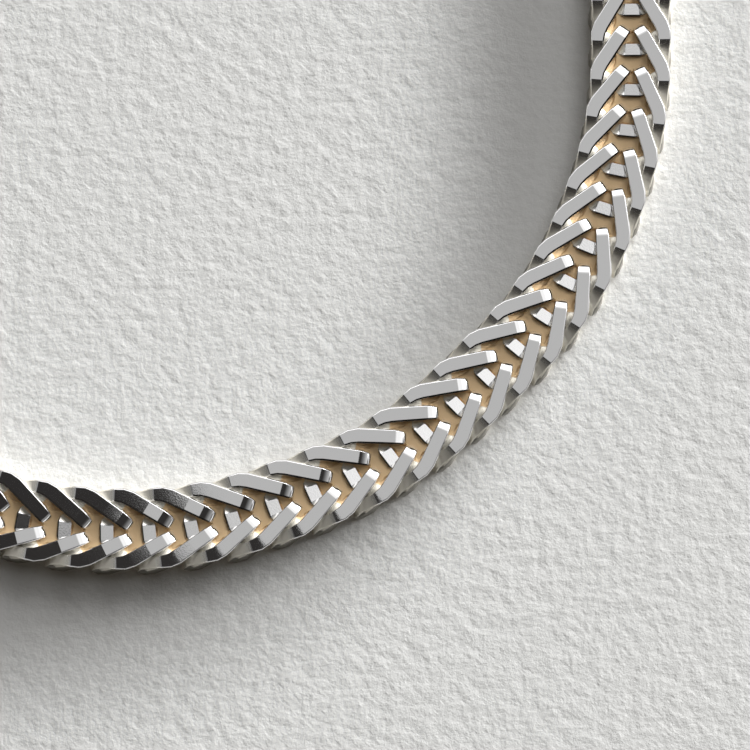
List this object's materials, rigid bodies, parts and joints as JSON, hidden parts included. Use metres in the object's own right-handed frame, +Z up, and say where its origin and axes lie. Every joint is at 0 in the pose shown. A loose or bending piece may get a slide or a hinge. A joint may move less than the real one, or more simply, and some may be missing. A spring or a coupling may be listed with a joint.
{
  "type": "foxtail chain necklace",
  "caption": "Flat foxtail chain necklace of small woven rings whose flat tops form rows of V arms, closed by a plain box clasp, lying as a long oval loop.",
  "frame": {"origin": "on the surface that the necklace lies on, under the middle of its box", "axes": "+X across the loop, +Y along the loop from the front bend to the clasp, +Z up from the surface"},
  "size_m": [0.0794, 0.1864, 0.0027],
  "materials": {
    "chain_silver": "polished silver, flat cut tops mirror bright with a fine grain",
    "clasp_silver": "polished silver, lightly brushed"
  },
  "bodies": {
    "root": {"chain": "chain_silver", "clasp": "clasp_silver"}
  },
  "joints": []
}
